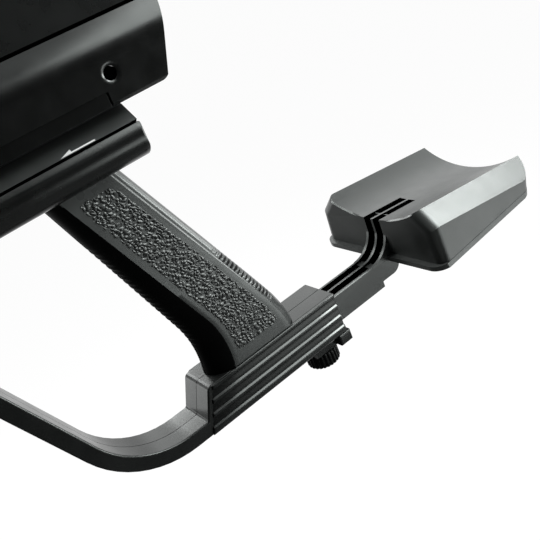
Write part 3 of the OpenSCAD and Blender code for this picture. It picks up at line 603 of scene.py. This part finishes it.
def knurled_knob():
    verts = []
    for radius, height in KNOB_PROFILE:
        for i in range(KNOB_STEPS):
            angle = 2 * math.pi * i / KNOB_STEPS
            groove = KNURL_DEPTH * (0.5 + 0.5 * math.cos(KNURLS * angle)) ** KNURL_SHAPE
            out = radius - groove * smooth(radius, *KNURL_FADE)
            verts.append((KNOB_X + out * math.cos(angle), out * math.sin(angle), KNOB_FOOT + height))
    solid("knurled_knob", verts, bands(len(verts), KNOB_STEPS), ["clamp_knob"], angle=40)


knurled_knob()


# Plain arrow printed on the left bevel of the deck
BEVEL_LOW = Vector((0, span("deck_cover", Y)[0], span("deck_cover", Z)[0]))
BEVEL_HIGH = Vector((0, -12.0, 79.9))
ARROW = ((-14.6, 2.05), (-14.6, 2.75), (-25.2, 2.75), (-25.2, 4.1), (-30.4, 2.05))
PRINT_PROUD = 0.04
PRINT_THICK = 0.10


def arrow():
    up_slope = (BEVEL_HIGH - BEVEL_LOW).normalized()
    out = Vector((0, -up_slope.z, up_slope.y))
    top = [BEVEL_LOW + Vector((x, 0, 0)) + up_slope * rise + out * PRINT_PROUD for x, rise in ARROW]
    under = [point - out * PRINT_THICK for point in top]
    upper = range(len(top))
    lower = range(len(top), 2 * len(top))
    faces = band(upper, lower) + [tuple(upper), tuple(reversed(lower))]
    obj = solid("printed_arrow", top + under, faces, [], "holder", "deck_cover")
    obj.data.materials[0] = look["print"]


arrow()


# Dressing of the other nodes: their own meshes with softened edges, small extra forms and painted shade
# in hollows, joints and grooves
Bevel = namedtuple("Bevel", "width pick segments clamp", defaults=(True,))
USUAL_BEVEL = Bevel(0.25, None, 2)
EDGE_FROM = math.radians(25)
FLAT_WITHIN = math.radians(0.4)
CLEAR = 0.1 * MM


def soften(work, bevel):
    """Bevels the sharp outer edges that have no face of the piece before them and that pick chooses."""
    work.normal_update()
    tree = BVHTree.FromBMesh(work)
    chosen = []
    for edge in work.edges:
        if len(edge.link_faces) != 2 or not edge.is_convex or edge.calc_face_angle(0) < EDGE_FROM:
            continue
        middle = (edge.verts[0].co + edge.verts[1].co) / 2
        one, other = (face.normal for face in edge.link_faces)
        out = (one + other).normalized()
        if tree.ray_cast(middle + out * CLEAR, out)[0] is not None:
            continue
        if bevel.pick is None or bevel.pick(middle / MM, one, other, tree):
            chosen.append(edge)
    if chosen:
        bmesh.ops.bevel(work, geom=chosen, offset=bevel.width * MM, offset_type="OFFSET",
                        segments=bevel.segments, profile=0.5, affect="EDGES", clamp_overlap=bevel.clamp)


def dress(node, bevels=(USUAL_BEVEL,), shape=None, painted_shade_pick=None, weighted=True):
    mesh = nodes[node].data.copy()
    mesh.materials.clear()
    work = bmesh.new()
    work.from_mesh(mesh)
    bmesh.ops.remove_doubles(work, verts=work.verts[:], dist=2e-6)
    bmesh.ops.dissolve_limit(work, angle_limit=FLAT_WITHIN, verts=work.verts[:], edges=work.edges[:],
                             use_dissolve_boundaries=False)
    if shape:
        shape(work)
    for bevel in bevels:
        soften(work, bevel)
    work.to_mesh(mesh)
    work.free()
    finish_normals(mesh)
    obj = place_piece(bpy.data.objects.new(node + "_dressed", mesh), [node])
    # Faces that the pick chooses get painted shade from the near-black inside finish
    if painted_shade_pick:
        paint(obj, "inside", painted_shade_pick)
    if weighted:
        weight = obj.modifiers.new("weight", "WEIGHTED_NORMAL")
        weight.keep_sharp = True
        weight.weight = 80


def slice_at(work, place, normal):
    bmesh.ops.bisect_plane(work, geom=work.verts[:] + work.edges[:] + work.faces[:], dist=1e-7,
                           plane_co=place, plane_no=normal)


def open_joint(low, height, depth, outer):
    """A narrow open joint: the lower edge of a piece is drawn in where it meets the piece below."""
    def shape(work):
        slice_at(work, (0, 0, (low + height) * MM), (0, 0, 1))
        work.normal_update()
        for vert in work.verts:
            if abs(vert.co.z / MM - low) > 0.05 or not outer(vert.co / MM):
                continue
            outward = Vector((0, 0, 0))
            for face in vert.link_faces:
                if abs(face.normal.z) < 0.9:
                    outward += Vector((face.normal.x, face.normal.y, 0)).normalized()
            if outward.length > 0.1:
                vert.co -= outward.normalized() * depth * MM
    return shape


# Frame halves: the seam between them shows as a fine dark line, an open bevelled seam whose faces also
# get painted shade
SEAM_OPEN = 18
SEAM_BACK = 0.3
FRAME_CORNER = 11
FRAME_LOW = -90


def along_seam(middle, one, other, tree):
    """Edges of the seam that lie open, with no face close before them."""
    if abs(middle.y) > 0.02:
        return False
    across = one if abs(one.y) < abs(other.y) else other
    back_from_seam = Vector((0, math.copysign(SEAM_BACK, (one + other).y), 0))
    start = (middle - back_from_seam) * MM + across * CLEAR
    return tree.ray_cast(start, across, SEAM_OPEN * MM)[0] is None


def frame_corner(middle, *_):
    return abs(middle.y) > FRAME_CORNER and middle.z > FRAME_LOW


# Faces at the seam, which get painted shade
def at_seam(centre, normal):
    return abs(centre.y) < 0.5 and abs(normal.y) > 0.2


# Deck: rounded tray, and the cover above an open joint
DECK_REAR_CORNER = 3.0
DECK_FRONT_CORNER = 2.2
DECK_JOINT = span("deck_cover", Z)[0]
# Heights between which the tray keeps the rounding of its solid, and where the cover's outside begins
TRAY_ROUND = (67, 72.6)
COVER_SIDE = 19.5
COVER_REAR = 3


def corner_loops(work):
    """Loops that keep the tray's rounded corners apart from its long sides."""
    front = span("deck_tray", X)[0]
    for x in (front + DECK_FRONT_CORNER, DECK_REAR_CORNER):
        slice_at(work, (x * MM, 0, 0), (1, 0, 0))


def tray_edge(middle, *_):
    low, high = TRAY_ROUND
    return not low < middle.z < high


def cover_edge(middle, *_):
    return middle.z > DECK_JOINT + 1.1


def cover_outside(place):
    return abs(place.y) > COVER_SIDE or place.x > COVER_REAR


# Faces in the deck's joint, which get painted shade
def in_deck_joint(centre, normal):
    return centre.z < DECK_JOINT + 0.9


# Device bay: tray with a countersunk eyelet on each side, and the roof above an open joint
eyelet = next(mount for mount in record["mounts"] if mount["name"] == "eyelet_left")
EYELET_X = eyelet["pos_m"][X] / MM
EYELET_Z = eyelet["pos_m"][Z] / MM
EYELET_RADIUS = eyelet["dims"]["r_mm"]
EYELET_CLEAR = 6
SINK_WIDTH = 1.9
SINK_DEPTH = 0.95
BAY_SIDE = span("bay_tray", Y)[1]
# Limits of the bay's inside
BAY_FRONT = -110
BAY_LOW = 84
BAY_MIDDLE = 112
BAY_HIGH = 148
BAY_WALL = 21.2
BAY_WALL_TOP = 99
ROOF_SIDE = 16
ROOF_JOINT = span("roof", Z)[0]


def from_eyelet(place):
    return math.hypot(place.x - EYELET_X, place.z - EYELET_Z)


def on_eyelet_rim(vert):
    place = vert.co / MM
    return abs(abs(place.y) - BAY_SIDE) < 0.02 and abs(from_eyelet(place) - EYELET_RADIUS) < 0.1


def countersink(work):
    ring = [edge for edge in work.edges if all(on_eyelet_rim(vert) for vert in edge.verts)]
    made = bmesh.ops.bevel(work, geom=ring, offset=SINK_WIDTH * MM, offset_type="OFFSET", segments=1,
                           profile=0.5, affect="EDGES", clamp_overlap=False)
    for vert in made["verts"]:
        if abs(vert.co.y / MM) < BAY_SIDE - 0.1:
            vert.co.y = math.copysign(BAY_SIDE - SINK_DEPTH, vert.co.y) * MM


def away_from_eyelet(middle, *_):
    return from_eyelet(middle) > EYELET_CLEAR


def within_bay(centre, normal):
    """Faces inside the bay that look towards its middle line. They get painted shade."""
    inward = Vector((0, -centre.y, BAY_MIDDLE - centre.z))
    behind_wall = abs(centre.y) < BAY_WALL or centre.z > BAY_WALL_TOP
    between_ends = centre.x > BAY_FRONT and BAY_LOW < centre.z < BAY_HIGH
    return between_ends and behind_wall and abs(normal.x) < 0.5 and normal.dot(inward) > 0


def roof_edge(middle, *_):
    return middle.z > ROOF_JOINT + 2.1


def roof_outside(place):
    return abs(place.y) > ROOF_SIDE


# Faces inside the bay and in the roof's joint, which get painted shade
def under_roof(centre, normal):
    in_joint = centre.z < ROOF_JOINT + 1.4 and abs(normal.z) < 0.9
    return within_bay(centre, normal) or in_joint


# Sliding arm: beam and cradle with two grooves along them, whose walls and floors get painted shade
BEAM_SIDE = span("arm_beam", Y)[1]
BEAM_TOP = span("arm_beam", Z)[1]
GROOVE_Y = 3.45
GROOVE_WALLS = (0.7, 6.3)
# Where the cradle's folds, its lip and its other bevelled edges lie
CRADLE_SHOULDER = 43.8
CRADLE_RIM = -54
LIP_SPAN = (9, 42)
LIP_LOW = -46
LIP_REAR = 121
REST_SPAN = (8, 42)
REST_FRONT = 117


def beam_shoulder(middle, one, other, tree):
    on_shoulder = abs(middle.y) > BEAM_SIDE - 0.2 and middle.z > BEAM_TOP - 0.4
    return on_shoulder and max(one.z, other.z) > 0.9


def beam_rest(middle, *_):
    return abs(middle.y) < BEAM_SIDE - 0.8 or middle.z < BEAM_TOP - 1.0


def cradle_fold(middle, one, other, tree):
    """The long folds where the cradle's shoulders turn down into its side walls."""
    outer = abs(middle.y) > CRADLE_SHOULDER and middle.z > CRADLE_RIM
    return outer and abs(one.z - other.z) > 0.35 and min(abs(one.y), abs(other.y)) > 0.5


def cradle_lip(middle, one, other, tree):
    """The front edge of the trough, on both sides of the neck."""
    low, high = LIP_SPAN
    beside_neck = low < abs(middle.y) < high and middle.z > LIP_LOW and middle.x < LIP_REAR
    return beside_neck and min(one.x, other.x) < -0.8 and max(one.z, other.z) > 0.6


def cradle_rest(middle, *_):
    low, high = REST_SPAN
    return not low < abs(middle.y) < high or middle.z < LIP_LOW or middle.x > REST_FRONT


def in_groove(centre, normal):
    """Walls and floors of the two grooves, which get painted shade."""
    low, high = GROOVE_WALLS
    wall = abs(normal.y) > 0.9 and low < abs(centre.y) < high
    level_floor = normal.z > 0.9 and centre.z < BEAM_TOP - 0.9
    between_walls = abs(abs(centre.y) - GROOVE_Y) < 0.6 and abs(normal.y) < 0.3
    return wall or between_walls and (level_floor or normal.x < -0.2)


FRAME_DRESS = dict(bevels=[Bevel(0.32, along_seam, 2), Bevel(0.9, frame_corner, 4)], painted_shade_pick=at_seam)
RAIL_DRESS = dict(bevels=[Bevel(0.3, None, 2)])
DRESS = {
    "frame_left": FRAME_DRESS,
    "frame_right": FRAME_DRESS,
    "deck_tray": dict(bevels=[Bevel(0.3, tray_edge, 2)], shape=corner_loops, weighted=False),
    "deck_cover": dict(bevels=[Bevel(0.3, cover_edge, 3)], painted_shade_pick=in_deck_joint,
                       shape=open_joint(DECK_JOINT, 1.0, 1.5, cover_outside)),
    "bay_tray": dict(bevels=[Bevel(0.5, away_from_eyelet, 3)], shape=countersink, painted_shade_pick=within_bay),
    "roof": dict(bevels=[Bevel(0.6, roof_edge, 3)], painted_shade_pick=under_roof,
                 shape=open_joint(ROOF_JOINT, 1.5, 1.8, roof_outside)),
    "front_cap": dict(bevels=[Bevel(0.6, None, 3)]),
    "side_rail_left": RAIL_DRESS,
    "side_rail_right": RAIL_DRESS,
    "bay_pads": dict(bevels=[Bevel(0.4, None, 3)]),
    "arm_beam": dict(bevels=[Bevel(0.5, beam_shoulder, 1, clamp=False), Bevel(0.35, beam_rest, 3)],
                     painted_shade_pick=in_groove),
    "cradle": dict(bevels=[Bevel(1.6, cradle_fold, 4), Bevel(0.8, cradle_lip, 1, clamp=False),
                           Bevel(0.4, cradle_rest, 3)], painted_shade_pick=in_groove),
    "clamp_shoe": dict(bevels=[Bevel(0.2, None, 2)]),
}
for node, obj in nodes.items():
    if not obj.hide_render:
        dress(node, **DRESS.get(node, {}))


# Camera at the photograph's viewing angle
CAMERA_PLACE = (-0.11488, -0.30922, 0.14064)
CAMERA_DEGREES = (62.0297, 20.0595, -37.6985)
FOCAL_LENGTH_MM = 51.17
SENSOR_WIDTH_MM = 36
camera = bpy.data.cameras.new("camera")
camera.lens = FOCAL_LENGTH_MM
camera.sensor_width = SENSOR_WIDTH_MM
camera_object = bpy.data.objects.new("camera", camera)
camera_turn = Euler([math.radians(angle) for angle in CAMERA_DEGREES])
camera_object.matrix_world = Matrix.Translation(CAMERA_PLACE) @ camera_turn.to_matrix().to_4x4()
scene.collection.objects.link(camera_object)
scene.camera = camera_object


# Surroundings and a pale floor, white to the camera, shaded to one side in gloss, and dimmer as light
SKY_BRIGHT_SIDE = (0.45, 0.72, 0.53)
SKY_DARK = (0.05, 0.05, 0.05)
SKY_LIGHT = 0.25
FLOOR_HALF = 8.0
FLOOR_LEVEL = -0.6
FLOOR_BRIGHT_SIDE = (0.78, 0.626, 0)
FLOOR_DARK = (0.04, 0.04, 0.04)
FLOOR_GLOW = 1.06
FLOOR_GLOW_SHARE = 0.9


def camera_rays(tree):
    return add(tree, "ShaderNodeLightPath").outputs["Is Camera Ray"]


def seen_or_mirrored(tree):
    """Is 1 for rays from the camera, from gloss and through glass, and 0 for other light."""
    rays = add(tree, "ShaderNodeLightPath").outputs
    seen = rays["Is Camera Ray"]
    for kind in ("Is Glossy Ray", "Is Transmission Ray"):
        either = add(tree, "ShaderNodeMath", operation="MAXIMUM")
        tree.links.new(seen, either.inputs[0])
        tree.links.new(rays[kind], either.inputs[1])
        seen = either.outputs[0]
    return seen


def make_world():
    world = bpy.data.worlds.new("world")
    world.use_nodes = True
    tree = world.node_tree
    background = tree.nodes["Background"]
    toward = remap(tree, reach_along(tree, "Generated", SKY_BRIGHT_SIDE), 0, 1, -1, 1)
    shade = ramp(tree, toward, [(0.35, SKY_DARK), (0.62, WHITE)])
    tree.links.new(blend(tree, camera_rays(tree), shade, WHITE), background.inputs["Color"])
    tree.links.new(remap(tree, seen_or_mirrored(tree), SKY_LIGHT, 1.0), background.inputs["Strength"])
    scene.world = world


def floor_material():
    material, tree, shader = node_material("floor")
    shader.inputs["Base Color"].default_value = (0.8, 0.8, 0.8, 1)
    shader.inputs["Roughness"].default_value = 0.9
    shader.inputs["Specular IOR Level"].default_value = 0.0
    toward = remap(tree, reach_along(tree, "Object", FLOOR_BRIGHT_SIDE), 0.0, 1.0, 0.1, 0.6)
    shade = ramp(tree, toward, [(0.0, FLOOR_DARK), (1.0, WHITE)])
    glow = add(tree, "ShaderNodeEmission", Strength=FLOOR_GLOW)
    tree.links.new(blend(tree, camera_rays(tree), shade, WHITE), glow.inputs["Color"])
    mix = add(tree, "ShaderNodeMixShader")
    tree.links.new(remap(tree, seen_or_mirrored(tree), 0.0, FLOOR_GLOW_SHARE), mix.inputs["Fac"])
    tree.links.new(shader.outputs["BSDF"], mix.inputs[1])
    tree.links.new(glow.outputs["Emission"], mix.inputs[2])
    tree.links.new(mix.outputs["Shader"], tree.nodes["Material Output"].inputs["Surface"])
    return material


make_world()
floor_mesh = bpy.data.meshes.new("floor")
floor_corners = [(-1, -1), (1, -1), (1, 1), (-1, 1)]
floor_mesh.from_pydata([(x * FLOOR_HALF, y * FLOOR_HALF, FLOOR_LEVEL) for x, y in floor_corners],
                       [], [(0, 1, 2, 3)])
floor_mesh.materials.append(floor_material())
floor = bpy.data.objects.new("floor", floor_mesh)
scene.collection.objects.link(floor)


# Soft lamps, each placed where the surfaces it lights mirror it
def softbox(name, where, aim, width, height, radiance):
    """A lamp that points at aim, or straight down where there is none."""
    lamp = bpy.data.lights.new(name, "AREA")
    lamp.shape = "RECTANGLE"
    lamp.size = width
    lamp.size_y = height
    lamp.energy = radiance * math.pi * width * height
    obj = bpy.data.objects.new(name, lamp)
    obj.location = where
    if aim:
        obj.rotation_euler = (Vector(aim) - Vector(where)).to_track_quat("-Z", "Y").to_euler()
    obj.visible_camera = False
    scene.collection.objects.link(obj)


softbox("back", (0.64, 0.96, 0.50), (0.08, 0.0, -0.03), 1.2, 0.5, 1.4)
softbox("canopy", (0.43, -0.37, 0.56), None, 0.40, 0.66, 6.4)
softbox("canopy_front", (0.48, -0.82, 0.56), None, 0.26, 0.24, 8.0)
softbox("key", (0.56, -0.31, 0.355), (0.155, -0.03, -0.045), 0.33, 0.24, 20.0)
softbox("fill", (0.42, -0.55, -0.29), (0.10, -0.02, -0.06), 0.46, 0.18, 4.4)
softbox("right", (0.90, -0.05, -0.08), (0.05, 0.0, 0.0), 0.70, 0.40, 4.0)
softbox("crease", (0.72, -0.38, -0.04), (0.0, -0.01, 0.02), 0.22, 0.22, 18.0)
softbox("rear_right", (0.75, 0.25, 0.35), (0.14, 0.02, -0.04), 0.30, 0.30, 0.8)
softbox("rear_left", (-0.53, 0.73, -0.10), (-0.01, 0.0, -0.06), 0.50, 0.35, 1.8)
softbox("edge", (0.0, 0.78, 0.34), (0.12, -0.02, -0.04), 0.40, 0.22, 10.0)
softbox("lip", (-0.17, 0.36, 0.50), None, 0.36, 0.26, 10.0)
